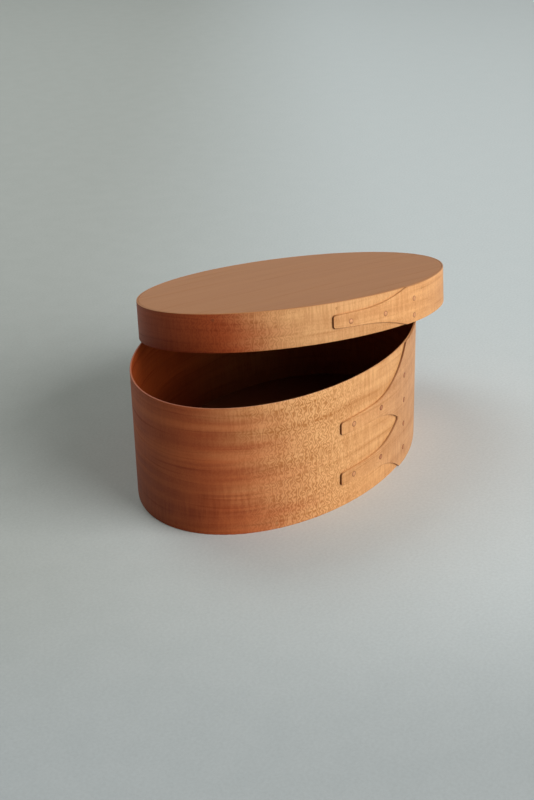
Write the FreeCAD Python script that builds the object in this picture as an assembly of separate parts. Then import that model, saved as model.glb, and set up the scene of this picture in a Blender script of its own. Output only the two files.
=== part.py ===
"""Bentwood oval box: a tall body and a shallow lid, each a steamed strip of cherry
bent into an oval, lapped over itself at the front and tacked.

Lengths are in millimetres. +Z is up and the underside of the body is at Z = 0, with
the origin at the middle of the body's oval. X runs along the oval, and the lapped
front faces -Y. The lid lies askew on the body: one part of its band stands over the
opening, and the other hangs down outside the far wall.

A place on a wall is given by three numbers: how far it is along the oval from the
middle of the front (positive towards +X), how far outside the oval, and its height.
"""
import FreeCAD
import Part

import math
import os

from BOPTools import SplitAPI

Vector = FreeCAD.Vector

# Body: outside sizes of the plain wall, away from the lap
BODY_LENGTH = 184.0
BODY_WIDTH = 121.4
BODY_HEIGHT = 64.8
BODY_BAND_THICKNESS = 0.8
BOTTOM_BOARD_THICKNESS = 6.0

# Lid
LID_HEIGHT = 19.0
LID_BAND_THICKNESS = 0.8
LID_BOARD_THICKNESS = 6.0
LID_SLIP_FIT = 0.4

# Lap of each band, along the front of its oval
LAP_GAP = 0.1
FEATHER_LENGTH = 28.0
LAP_RUN_OUT = 10.0
BODY_SEAM_ALONG = 20.6
LID_SEAM_ALONG = 22.8

# Fingers of the body: two, swallow-tailed
BODY_FINGER_REACH = 56.8
UPPER_FINGER_HEIGHT = 41.6
LOWER_FINGER_HEIGHT = 15.0
BODY_FINGER_TIP_WIDTH = 6.7
BODY_FINGER_TAPER = 2.2
BODY_FINGER_STRAIGHT = 24.0
BODY_FLARE_RADIUS = 44.0

# Finger of the lid
LID_FINGER_REACH = 56.1
LID_FINGER_TIP_WIDTH = 6.8
LID_FINGER_TAPER = 1.2
LID_FINGER_STRAIGHT = 16.0
LID_FLARE_RADIUS = 110.0

FINGER_CORNER_RADIUS = 1.5
FINGER_BEVEL = 10.0

# Copper tacks
TACK_HEAD_DIAMETER = 2.5
TACK_HEAD_THICKNESS = 0.4
TACK_HEAD_SUNK = 0.2
TACK_HEAD_FLAT_COUNT = 16
TACK_SHANK_FLAT_COUNT = 4
TACK_SHANK_WIDTH = 0.9
TACK_TIP_WIDTH = 0.6
TACK_CLINCH_LENGTH = 2.0
TACK_CLINCH_THICKNESS = 0.35
TACK_HOLE_CLEARANCE = 0.03
BODY_FIRST_TACK_FROM_TIP = 8.7
BODY_SECOND_TACK_FROM_TIP = 30.5
LID_FIRST_TACK_FROM_TIP = 10.2
LID_SECOND_TACK_FROM_TIP = 32.7
LID_FINGER_TACK_HEIGHT = 8.7
BODY_SEAM_LOWEST_TACK = 8.4
BODY_SEAM_TACK_PITCH = 13.2
BODY_SEAM_TACKS = 4
LID_SEAM_LOWEST_TACK = 3.6
LID_SEAM_TACK_PITCH = 8.5
LID_SEAM_TACKS = 2

# Wooden pegs that hold each board in its band, whittled to flats and a taper
PEG_FLAT_COUNT = 8
PEG_DIAMETER = 1.6
PEG_POINT_DIAMETER = 1.1
PEG_DEPTH_IN_BOARD = 7.5
PEG_HOLE_CLEARANCE = 0.03
BOTTOM_PEGS = 10
LID_PEGS = 8
BOARD_FIT = 0.05

# How the lid lies: it rests on the body's rim at two places, on a level line across
# the body, and its board rests on the far rim. LEAN_LINE is the direction of that line
# and LEAN_LINE_OFFSET its distance from the body's middle. LID_LINE is the direction
# of the same line as it runs across the lid. Both directions are degrees from +X.
LEAN_LINE = -49.5
LEAN_LINE_OFFSET = 5.4
LID_LINE = -35.8
REST_GAP = 0.3

ARC_LENGTH = 10.0
STRAIGHT_WITHIN = 0.001
CUT_SPACING = 1.5
OVERCUT = 0.5
TRIM_ALLOWANCE = 4.0


class Oval:
    """An ellipse in plan, walked from the middle of its front towards +X."""

    def __init__(self, half_length, half_width, centre_y=0.0):
        self.half_length = half_length
        self.half_width = half_width
        self.centre_y = centre_y
        middle = Vector(0, centre_y, 0)
        self.edge = Part.Ellipse(middle, half_length, half_width).toShape()
        self.around = self.edge.Length

    def angle(self, along):
        """Ellipse parameter of the place `along` mm from the middle of the front."""
        walked = (0.75 * self.around + along) % self.around
        return self.edge.getParameterByLength(walked)

    def outward(self, along):
        """Unit vector square to the oval, pointing out of it."""
        angle = self.angle(along)
        square = Vector(math.cos(angle) / self.half_length, math.sin(angle) / self.half_width, 0)
        return square.normalize()

    def place(self, along, out, height):
        """Point `along` the oval, `out` mm outside it and at `height`."""
        angle = self.angle(along)
        on_oval = Vector(
            self.half_length * math.cos(angle),
            self.centre_y + self.half_width * math.sin(angle),
            height,
        )
        return on_oval + self.outward(along) * out


class Band:
    """A strip bent round an oval. It starts at its feathered end, hidden inside to the
    right of the seam, runs left round the whole oval, and comes back over its own start
    as the outer layer, which ends in the fingers."""

    def __init__(self, oval, thickness, height, seam, finger):
        self.oval = oval
        self.thickness = thickness
        self.height = height
        self.seam = seam
        self.finger = finger
        self.tip = seam - finger["reach"]

    def rise(self, along):
        """How far the outer layer stands off the oval. It climbs the feathered end in
        an S-curve and keeps its full height from the seam to the finger tips."""
        climb_length = FEATHER_LENGTH + LAP_RUN_OUT
        share = (self.seam + climb_length - along) / climb_length
        share = min(max(share, 0.0), 1.0)
        return (self.thickness + LAP_GAP) * share * share * (3 - 2 * share)

    def outside(self, along, lapped):
        """Distance from the oval to the outer face, on the outer layer or beside it."""
        if lapped:
            return self.rise(along) + self.thickness
        return self.thickness

    def strip(self):
        """The bent strip before its fingers are cut, as one solid."""
        start = self.seam + FEATHER_LENGTH
        end = self.tip - TRIM_ALLOWANCE - self.oval.around
        inner_points = []
        outer_points = []
        for walked in places_for_arcs(start, end):
            stand_off = self.rise(walked + self.oval.around)
            inner_points.append(self.oval.place(walked, stand_off, 0))
            wood = self.rise(walked) - LAP_GAP
            outer_points.append(self.oval.place(walked, stand_off + wood, 0))
        outline = Part.Wire([
            *arcs_through(outer_points),
            Part.makeLine(outer_points[-1], inner_points[-1]),
            *arcs_through(inner_points[::-1]),
            Part.makeLine(inner_points[0], outer_points[0]),
        ])
        return Part.Face(outline).extrude(Vector(0, 0, self.height))

    def half_finger(self, axis, side, inset, stop):
        """One edge of a finger from its tip to height `stop`, flat on the unrolled band
        (X along, Y height). `side` is 1 above the axis and -1 below it. `inset` moves
        the whole edge into the finger."""
        taper = math.radians(self.finger["taper"])
        half_tip = self.finger["tip_width"] / 2 - inset / math.cos(taper) + inset * math.tan(taper)
        radius = self.finger["flare_radius"] + inset
        straight = self.finger["straight"] - inset
        tip = self.tip + inset
        flare_start = (tip + straight, half_tip + straight * math.tan(taper))
        centre = (
            flare_start[0] - radius * math.sin(taper),
            flare_start[1] + radius * math.cos(taper),
        )
        rise = side * (stop - axis)
        turned = math.acos(max((centre[1] - rise) / radius, 0.0))

        def flare(turn):
            return Vector(
                centre[0] + radius * math.sin(turn),
                axis + side * (centre[1] - radius * math.cos(turn)),
                0,
            )

        corner = max(FINGER_CORNER_RADIUS - inset, 0.1)
        tangent_length = corner * math.tan(math.radians(45) - taper / 2)
        corner_start = Vector(tip, axis + side * (half_tip - tangent_length), 0)
        corner_end = Vector(
            tip + tangent_length * math.cos(taper),
            axis + side * (half_tip + tangent_length * math.sin(taper)),
            0,
        )
        bend = math.radians(45) + taper / 2
        corner_middle = Vector(
            tip + corner * (1 - math.cos(bend)),
            axis + side * (half_tip - tangent_length + corner * math.sin(bend)),
            0,
        )
        flare_in = flare(taper)
        edges = [
            Part.makeLine(Vector(tip, axis, 0), corner_start),
            Part.Arc(corner_start, corner_middle, corner_end).toShape(),
            Part.makeLine(corner_end, flare_in),
            Part.Arc(flare_in, flare((taper + turned) / 2), flare(turned)).toShape(),
        ]
        top_of_flare = flare(turned)
        if abs(top_of_flare.y - stop) > OVERCUT / 10:
            edges.append(Part.makeLine(top_of_flare, Vector(top_of_flare.x, stop, 0)))
        return edges

    def finger_edges(self, inset):
        """The line that the fingers are cut along, from above the band to below it,
        flat on the unrolled band. It is a list of half fingers, tip first."""
        axes = sorted(self.finger["axes"], reverse=True)
        stops = [self.height + TRIM_ALLOWANCE]
        for upper, lower in zip(axes, axes[1:]):
            stops.append((upper + lower) / 2)
        stops.append(-TRIM_ALLOWANCE)
        edges = []
        for axis, above, below in zip(axes, stops, stops[1:]):
            edges += self.half_finger(axis, 1, inset, above)
            edges += self.half_finger(axis, -1, inset, below)
        return edges

    def wrapped(self, flat_edge, lift):
        """A flat edge laid on the oval, `lift` mm outside the outer layer's inner face."""
        count = max(math.ceil(flat_edge.Length / CUT_SPACING), 3)
        points = []
        for flat in flat_edge.discretize(Number=count + 1):
            points.append(self.oval.place(flat.x, self.rise(flat.x) + lift, flat.y))
        curve = Part.BSplineCurve()
        curve.interpolate(points)
        return curve.toShape()

    def cut_wall(self):
        """The bevelled surface that parts the fingers from the waste. Its foot lies in
        the gap under the outer layer."""
        foot = -LAP_GAP / 2
        head = self.thickness + OVERCUT
        bevel = (head - foot) * math.tan(math.radians(FINGER_BEVEL))
        faces = []
        for low, high in zip(self.finger_edges(0.0), self.finger_edges(bevel)):
            faces.append(Part.makeRuledSurface(self.wrapped(low, foot), self.wrapped(high, head)))
        return Part.makeShell(faces)

    def solid(self):
        """The bent strip with its fingers."""
        pieces = SplitAPI.slice(self.strip(), [self.cut_wall()], "Split", 1e-6).Solids
        return max(pieces, key=lambda piece: piece.Volume)


def drilled(shape, holes):
    """A solid with each hole cut out of it in turn."""
    for hole in holes:
        shape = shape.cut(hole)
    return shape


def places_for_arcs(start, end):
    """Evenly spaced places from `start` to `end`, two to each arc and one to close."""
    steps = 2 * math.ceil(abs(end - start) / ARC_LENGTH)
    return [start + (end - start) * step / steps for step in range(steps + 1)]


def arcs_through(points):
    """Arcs that follow one another, each through three of the points. A stretch with no
    bulge is drawn as a straight line."""
    edges = []
    for start, middle, end in zip(points[::2], points[1::2], points[2::2]):
        if middle.distanceToLine(start, end - start) > STRAIGHT_WITHIN:
            edges.append(Part.Arc(start, middle, end).toShape())
        else:
            edges.append(Part.makeLine(start, end))
    return edges


def facing_out(oval, along, out, height):
    """Placement whose Z points out of the wall and whose Y points up it."""
    outward = oval.outward(along)
    sideways = Vector(0, 0, 1).cross(outward)
    turn = FreeCAD.Rotation(sideways, Vector(0, 0, 1), outward, "ZXY")
    return FreeCAD.Placement(oval.place(along, out, height), turn)


def flat_face(corners):
    """Flat face with the corners given in order."""
    return Part.Face(Part.makePolygon(corners + corners[:1]))


def flats_at(across, flats, height):
    """Corners of a ring with equal sides round the Z axis, `across` mm over its flats."""
    radius = across / 2 / math.cos(math.pi / flats)
    corners = []
    for number in range(flats):
        turn = math.pi * (2 * number + 1) / flats
        corners.append(Vector(radius * math.cos(turn), radius * math.sin(turn), height))
    return corners


def flat_sided(flats, *sections):
    """Solid with flat sides round the Z axis, through (across, height) sections."""
    rings = [flats_at(across, flats, height) for across, height in sections]
    faces = [flat_face(rings[0]), flat_face(rings[-1])]
    for low, high in zip(rings, rings[1:]):
        for number in range(flats):
            after = (number + 1) % flats
            faces.append(flat_face([low[number], low[after], high[after], high[number]]))
    return Part.makeSolid(Part.makeShell(faces))


def shank(wall, deepest, clearance):
    """Square shank that tapers from under a tack's head to the inner face, carried on
    to a depth of `deepest` and made wider by the clearance all round."""
    narrowing = (TACK_SHANK_WIDTH - TACK_TIP_WIDTH) / (wall - TACK_HEAD_SUNK)
    end_width = TACK_SHANK_WIDTH - narrowing * (deepest - TACK_HEAD_SUNK)
    return flat_sided(
        TACK_SHANK_FLAT_COUNT,
        (TACK_SHANK_WIDTH + 2 * clearance, -TACK_HEAD_SUNK),
        (end_width + 2 * clearance, -deepest),
    )


def tack(wall):
    """A tack driven through a wall whose outer face is at Z = 0. Its hammered head is a
    low many-sided dome, let in a little, and its square shank tapers to a point that is
    bent over and lies flush in the inner face."""
    seat = -TACK_HEAD_SUNK
    crown = seat + TACK_HEAD_THICKNESS
    head = flat_sided(
        TACK_HEAD_FLAT_COUNT,
        (TACK_HEAD_DIAMETER, seat),
        (TACK_HEAD_DIAMETER, seat + 0.6 * TACK_HEAD_THICKNESS),
        (0.75 * TACK_HEAD_DIAMETER, seat + 0.9 * TACK_HEAD_THICKNESS),
        (0.35 * TACK_HEAD_DIAMETER, crown),
    )
    inner_face = -wall
    half_tip = TACK_TIP_WIDTH / 2
    clinch_side = Part.makePolygon([
        Vector(-half_tip, half_tip, inner_face),
        Vector(-half_tip, -TACK_CLINCH_LENGTH, inner_face),
        Vector(-half_tip, half_tip, inner_face + TACK_CLINCH_THICKNESS),
        Vector(-half_tip, half_tip, inner_face),
    ])
    clinch = Part.Face(clinch_side).extrude(Vector(TACK_TIP_WIDTH, 0, 0))
    return head.fuse([shank(wall, wall, 0.0), clinch]).removeSplitter().Solids[0]


def tack_hole(wall):
    """What a tack takes out of its wall: a seat for the head, the hole that the shank
    has opened and a groove for the bent point."""
    seat_width = TACK_HEAD_DIAMETER + 2 * TACK_HOLE_CLEARANCE
    seat_depth = TACK_HEAD_SUNK + TACK_HOLE_CLEARANCE
    seat = flat_sided(TACK_HEAD_FLAT_COUNT, (seat_width, -seat_depth), (seat_width, OVERCUT))
    groove_width = TACK_TIP_WIDTH + 2 * TACK_HOLE_CLEARANCE
    groove_length = TACK_CLINCH_LENGTH + TACK_HOLE_CLEARANCE
    groove_depth = TACK_CLINCH_THICKNESS + TACK_HOLE_CLEARANCE
    groove = Part.makeBox(
        groove_width,
        groove_length,
        groove_depth + OVERCUT,
        Vector(-groove_width / 2, -groove_length, -wall - OVERCUT),
    )
    return seat.fuse([shank(wall, wall + OVERCUT, TACK_HOLE_CLEARANCE), groove])


def driven_tacks(band, places):
    """Tacks at the (along, height) places of a band, and the holes they sit in."""
    tacks = []
    holes = []
    for along, height in places:
        wall = band.outside(along, True)
        placement = facing_out(band.oval, along, wall, height)
        for shape, pile in ((tack(wall), tacks), (tack_hole(wall), holes)):
            shape.Placement = placement
            pile.append(shape)
    return tacks, holes


def pegs_round(band, count, height):
    """Pegs evenly spaced round a band, their heads flush with its outer face, and the
    holes for them, which go through the band and into the board."""
    pegs = []
    holes = []
    for number in range(count):
        along = (number + 0.5) * band.oval.around / count
        if along > band.oval.around / 2:
            along -= band.oval.around
        out = band.outside(along, along > 0)
        length = out + PEG_DEPTH_IN_BOARD
        widening = (PEG_DIAMETER - PEG_POINT_DIAMETER) / length
        peg = flat_sided(PEG_FLAT_COUNT, (PEG_POINT_DIAMETER, -length), (PEG_DIAMETER, 0))
        hole = flat_sided(
            PEG_FLAT_COUNT,
            (PEG_POINT_DIAMETER + 2 * PEG_HOLE_CLEARANCE, -length - PEG_HOLE_CLEARANCE),
            (PEG_DIAMETER + 2 * PEG_HOLE_CLEARANCE + widening * OVERCUT, OVERCUT),
        )
        placement = facing_out(band.oval, along, out, height)
        for shape, pile in ((peg, pegs), (hole, holes)):
            shape.Placement = placement
            pile.append(shape)
    return pegs, holes


def board(oval, thickness, base):
    """Oval board that fills a band, from height `base` up."""
    rim = [oval.place(along, -BOARD_FIT, base) for along in places_for_arcs(0, oval.around)]
    return Part.Face(Part.Wire(arcs_through(rim))).extrude(Vector(0, 0, thickness))


def chord(half_length, half_width, direction, offset):
    """Where a straight line crosses an ellipse. The line runs in `direction` (radians)
    at `offset` to the left of the middle. Gives the line's own direction, the direction
    square to it, and the distances along it of the two crossings."""
    run = Vector(math.cos(direction), math.sin(direction), 0)
    square = Vector(-math.sin(direction), math.cos(direction), 0)
    a = (run.x / half_length) ** 2 + (run.y / half_width) ** 2
    b = 2 * offset * (square.x * run.x / half_length ** 2 + square.y * run.y / half_width ** 2)
    c = offset ** 2 * ((square.x / half_length) ** 2 + (square.y / half_width) ** 2) - 1
    root = math.sqrt(b * b - 4 * a * c)
    return run, square, (-b - root) / (2 * a), (-b + root) / (2 * a)


def reach(half_length, half_width, direction):
    """How far an ellipse reaches from its middle, square to a direction (radians)."""
    return math.hypot(half_length * math.sin(direction), half_width * math.cos(direction))


def lid_rest():
    """Placement of the lid, modelled with its lower edge on Z = 0, as it lies askew.

    The lid's lower edge crosses the body's rim at two places on the lean line, so the
    same length of that line lies inside both ovals. The lid tips about the line until
    the underside of its board meets the far rim."""
    half_length = BODY_LENGTH / 2 + REST_GAP
    half_width = BODY_WIDTH / 2 + REST_GAP
    lean = math.radians(LEAN_LINE)
    run, square, left, right = chord(half_length, half_width, lean, LEAN_LINE_OFFSET)
    middle_of_line = square * LEAN_LINE_OFFSET + run * ((left + right) / 2)

    lid_line = math.radians(LID_LINE)
    lid_long = LID_OVAL.half_length
    lid_wide = LID_OVAL.half_width
    lid_reach = reach(lid_long, lid_wide, lid_line)
    share = (right - left) / 2 * lid_reach / (lid_long * lid_wide)
    lid_offset = -lid_reach * math.sqrt(1 - share ** 2)
    lid_run, lid_square, lid_left, lid_right = chord(lid_long, lid_wide, lid_line, lid_offset)
    lid_middle = lid_square * lid_offset + lid_run * ((lid_left + lid_right) / 2)
    lid_middle += Vector(0, LID_OVAL.centre_y, 0)

    hollow = LID_HEIGHT - LID_BOARD_THICKNESS
    far_rim = reach(BODY_LENGTH / 2, BODY_WIDTH / 2, lean) - LEAN_LINE_OFFSET
    tip = math.asin(hollow / far_rim)

    turn = FreeCAD.Rotation(Vector(0, 0, 1), math.degrees(lean - lid_line))
    lean_over = FreeCAD.Rotation(run, -math.degrees(tip))
    whole_turn = lean_over.multiply(turn)
    level = Vector(0, 0, BODY_HEIGHT + REST_GAP)
    return FreeCAD.Placement(middle_of_line + level - whole_turn.multVec(lid_middle), whole_turn)


BODY_OVAL = Oval(
    BODY_LENGTH / 2 - BODY_BAND_THICKNESS,
    BODY_WIDTH / 2 - BODY_BAND_THICKNESS,
)
# The lid clears the body's lap at the front as well as the plain wall at the back, so
# it is wider than the body by the lap's step, and stands forward by half of it.
LAP_STEP = BODY_BAND_THICKNESS + LAP_GAP
LID_OVAL = Oval(
    BODY_LENGTH / 2 + LID_SLIP_FIT,
    BODY_WIDTH / 2 + LID_SLIP_FIT + LAP_STEP / 2,
    -LAP_STEP / 2,
)

BODY_BAND = Band(
    BODY_OVAL,
    BODY_BAND_THICKNESS,
    BODY_HEIGHT,
    BODY_SEAM_ALONG,
    {
        "reach": BODY_FINGER_REACH,
        "axes": (UPPER_FINGER_HEIGHT, LOWER_FINGER_HEIGHT),
        "tip_width": BODY_FINGER_TIP_WIDTH,
        "taper": BODY_FINGER_TAPER,
        "straight": BODY_FINGER_STRAIGHT,
        "flare_radius": BODY_FLARE_RADIUS,
    },
)
LID_BAND = Band(
    LID_OVAL,
    LID_BAND_THICKNESS,
    LID_HEIGHT,
    LID_SEAM_ALONG,
    {
        "reach": LID_FINGER_REACH,
        "axes": (LID_HEIGHT / 2,),
        "tip_width": LID_FINGER_TIP_WIDTH,
        "taper": LID_FINGER_TAPER,
        "straight": LID_FINGER_STRAIGHT,
        "flare_radius": LID_FLARE_RADIUS,
    },
)


def seam_row(along, lowest, pitch, count):
    """Places of a row of tacks up a band."""
    return [(along, lowest + pitch * number) for number in range(count)]


def finger_row(band, height, from_tip):
    """Places of a row of tacks along a finger, at one height."""
    return [(band.tip + distance, height) for distance in from_tip]


def body_parts():
    """The body's nodes, by name."""
    from_tip = (BODY_FIRST_TACK_FROM_TIP, BODY_SECOND_TACK_FROM_TIP)
    upper, upper_holes = driven_tacks(
        BODY_BAND, finger_row(BODY_BAND, UPPER_FINGER_HEIGHT, from_tip)
    )
    lower, lower_holes = driven_tacks(
        BODY_BAND, finger_row(BODY_BAND, LOWER_FINGER_HEIGHT, from_tip)
    )
    seam_places = seam_row(
        BODY_SEAM_ALONG, BODY_SEAM_LOWEST_TACK, BODY_SEAM_TACK_PITCH, BODY_SEAM_TACKS
    )
    seam, seam_holes = driven_tacks(BODY_BAND, seam_places)
    pegs, peg_holes = pegs_round(BODY_BAND, BOTTOM_PEGS, BOTTOM_BOARD_THICKNESS / 2)
    holes = upper_holes + lower_holes + seam_holes + peg_holes
    return {
        "body_band": drilled(BODY_BAND.solid(), holes),
        "bottom_board": drilled(board(BODY_OVAL, BOTTOM_BOARD_THICKNESS, 0), peg_holes),
        "upper_finger_tacks": Part.makeCompound(upper),
        "lower_finger_tacks": Part.makeCompound(lower),
        "body_seam_tacks": Part.makeCompound(seam),
        "bottom_pegs": Part.makeCompound(pegs),
    }


def lid_parts():
    """The lid's nodes, by name, laid askew on the body."""
    from_tip = (LID_FIRST_TACK_FROM_TIP, LID_SECOND_TACK_FROM_TIP)
    fingers, finger_holes = driven_tacks(
        LID_BAND, finger_row(LID_BAND, LID_FINGER_TACK_HEIGHT, from_tip)
    )
    seam_places = seam_row(
        LID_SEAM_ALONG, LID_SEAM_LOWEST_TACK, LID_SEAM_TACK_PITCH, LID_SEAM_TACKS
    )
    seam, seam_holes = driven_tacks(LID_BAND, seam_places)
    board_base = LID_HEIGHT - LID_BOARD_THICKNESS
    pegs, peg_holes = pegs_round(LID_BAND, LID_PEGS, LID_HEIGHT - LID_BOARD_THICKNESS / 2)
    parts = {
        "lid_band": drilled(LID_BAND.solid(), finger_holes + seam_holes + peg_holes),
        "lid_board": drilled(board(LID_OVAL, LID_BOARD_THICKNESS, board_base), peg_holes),
        "lid_finger_tacks": Part.makeCompound(fingers),
        "lid_seam_tacks": Part.makeCompound(seam),
        "lid_pegs": Part.makeCompound(pegs),
    }
    rest = lid_rest()
    for shape in parts.values():
        shape.Placement = rest
    return parts


def export(parts):
    """Write each node to its own STEP file."""
    os.makedirs("parts", exist_ok=True)
    for name, shape in parts.items():
        shape.exportStep(f"parts/{name}.step")
        print(name, len(shape.Solids), "solids", round(shape.Volume), "mm3", shape.isValid())


export({**body_parts(), **lid_parts()})
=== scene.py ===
"""Bentwood oval box with its lid lying askew: the looks of every piece.

Each piece is worked out from the box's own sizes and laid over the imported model. A place
on a wall is given by three lengths: how far along the oval it is from the middle of the
front (positive towards +X), how far outside the oval, and its height. Lengths are in
metres, Z is up and the front, with its lapped fingers, faces -Y.
"""
import math

import bpy
import numpy as np
from bpy.props import FloatProperty, FloatVectorProperty, IntProperty, PointerProperty
from mathutils import Matrix


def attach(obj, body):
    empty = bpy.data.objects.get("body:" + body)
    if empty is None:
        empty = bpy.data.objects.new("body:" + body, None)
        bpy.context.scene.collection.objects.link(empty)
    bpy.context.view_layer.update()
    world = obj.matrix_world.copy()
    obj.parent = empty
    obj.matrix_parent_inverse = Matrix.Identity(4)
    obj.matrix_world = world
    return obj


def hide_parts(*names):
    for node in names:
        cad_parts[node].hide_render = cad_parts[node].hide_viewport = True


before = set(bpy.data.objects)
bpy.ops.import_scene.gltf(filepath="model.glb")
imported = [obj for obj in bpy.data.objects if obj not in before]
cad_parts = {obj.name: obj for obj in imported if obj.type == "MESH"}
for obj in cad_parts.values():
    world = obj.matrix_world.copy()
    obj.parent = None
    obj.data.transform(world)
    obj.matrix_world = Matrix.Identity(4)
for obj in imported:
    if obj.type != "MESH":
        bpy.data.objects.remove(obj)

bl_info = {
    "name": "Bentwood oval box",
    "version": (1, 0, 0),
    "blender": (4, 5, 0),
    "location": "3D View > Sidebar > Oval box",
    "description": "Makes the bands, boards, tacks and pegs of a bentwood oval box, and its stage",
    "category": "Add Mesh",
}

MM = 0.001

# The laps: their gap, how far the hidden end is feathered, and the fingers' edges
LAP_GAP = 0.1 * MM
FEATHER_LENGTH = 28 * MM
LAP_RUN_OUT = 10 * MM
FINGER_CORNER = 1.5 * MM
FINGER_BEVEL = math.radians(10)
FINGER_ARRIS = 0.12 * MM
ARRIS_BAND = 0.12 * MM
RIM_ARRIS = 0.2 * MM

# The boards
BOARD_ARRIS = 0.4 * MM
BOARD_FIT = 0.05 * MM

# The tacks: their sizes, how far they stand from a finger's tip, and the rows on the seams
TACK_HEAD = 2.5 * MM
TACK_PROUD = 0.17 * MM
TACK_SUNK = 0.2 * MM
TACK_SHANK = 0.9 * MM
TACK_TIP = 0.6 * MM
TACK_CLINCH = 2.0 * MM
TACK_CLINCH_THICKNESS = 0.35 * MM
HAMMER_DEPTH = 0.035 * MM
FINGER_TACKS = (8.7 * MM, 30.5 * MM)
SEAM_TACKS = tuple(8.4 * MM + 13.2 * MM * step for step in range(4))
LID_FINGER_TACKS = (10.2 * MM, 32.7 * MM)
LID_FINGER_TACK_HEIGHT = 8.7 * MM
LID_SEAM_TACKS = tuple(3.6 * MM + 8.5 * MM * step for step in range(2))

# How near to a finger's tip the body's tacks are rubbed bright, and how dull the others are
BRIGHT_REACH = 12 * MM
AGED = 0.55

# The pegs, and where along the wall they lose the red of the band's red stretch, which is
# partly painted shade
PEG_WIDTH = 1.6 * MM
PEG_DEPTH_IN_BOARD = 7.5 * MM
PEG_PROUD = 0.004 * MM
PEG_REDDENING = (-95 * MM, -60 * MM)

# How the lid fits, and the line on which it lies askew, as seen from the body and the lid
LID_SLIP_FIT = 0.4 * MM
REST_GAP = 0.3 * MM
REST_LINE = math.radians(-49.5)
REST_LINE_ON_LID = math.radians(-35.8)
REST_LINE_OFFSET = 5.4 * MM

# How finely the shapes are divided, and past which angle an edge stays sharp
OVAL_STEPS = 8000
STATION = 4 * MM
JOIN_COLUMNS = 24
BOARD_COLUMNS = 160
TACK_COLUMNS = 24
PEG_COLUMNS = 16
FLOOR_COLUMNS = 96
SHARP_ANGLE = math.radians(40)

# How glossy every finish is, and how far the grain wanders across the wood
GLOSS = 0.2
GRAIN_DRIFT = 10 * MM

# The red heartwood, whose stretch lies on the band's shaded side and is partly painted shade:
# how far its edge leans per height, where past that edge a painted shade low down begins and
# is full, and the tint of that painted shade
HEART_AND_SHADE_LEAN = 0.3
LOW_SHADE_PLACES = (14 * MM, -16 * MM)
LOW_SHADE_TINT = (0.67, 0.60, 0.51)

# The inner face's painted shade: how far outside the oval it fades, and the heights between
# which it goes from its dark low tint to its lighter high one
INNER_SHADE_REACH = (0.35 * MM, 0.45 * MM)
INNER_SHADE_HEIGHTS = (6 * MM, 42 * MM)

# The camera. Its distance and shift are counted in half lengths of the body.
AZIMUTH = math.radians(-56.9597)
ELEVATION = math.radians(25.1701)
ROLL = math.radians(-1.4837)
VIEW_UNIT = 92 * MM
VIEW_DISTANCE = 7.9389 * VIEW_UNIT
VIEW_SHIFT = (-0.0771 * VIEW_UNIT, 0.2850 * VIEW_UNIT)
SENSOR_HEIGHT = 36.0
LENS = 1.76375 * SENSOR_HEIGHT

# The lamps. A place is how far to the right, towards the camera and up a lamp hangs.
LAMP_AIM = (0.0, 0.0, 0.04)
KEY_PLACE = (2.36, 1.27, 1.36)
KEY_SIZE = 2.7
KEY_TINT = (1.0, 1.0, 1.0)
FILL_PLACE = (-0.8, -1.2, 1.6)
FILL_SIZE = 1.2
FILL_TINT = (0.92, 0.98, 0.97)
ROOM_TINT = (1.0, 0.99, 0.87)


# ---------------------------------------------------------------- settings

def length(name, description, default):
    """A length that the user may change."""
    return FloatProperty(name=name, description=description, default=default, unit="LENGTH", precision=5)


def watts(name, description, default):
    """The power of a lamp that the user may change."""
    return FloatProperty(name=name, description=description, default=default, unit="POWER")


def colour(name, description, default):
    """A linear colour that the user may change."""
    return FloatVectorProperty(
        name=name, description=description, default=default, subtype="COLOR", size=3, min=0, max=1
    )


class OvalBoxSizes(bpy.types.PropertyGroup):
    """Sizes of the box and its lid."""

    body_length: length("Body length", "Outside length of the plain wall", 184 * MM)
    body_width: length("Body width", "Outside width of the plain wall", 121.4 * MM)
    body_height: length("Body height", "Height of the body's band", 64.8 * MM)
    lid_height: length("Lid height", "Height of the lid's band", 19 * MM)
    band_thickness: length("Band thickness", "Thickness of both bands", 0.8 * MM)
    board_thickness: length("Board thickness", "Thickness of both boards", 6 * MM)
    bottom_pegs: IntProperty(name="Bottom pegs", description="Pegs round the bottom board", default=10)
    lid_pegs: IntProperty(name="Lid pegs", description="Pegs round the lid's board", default=8)


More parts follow.
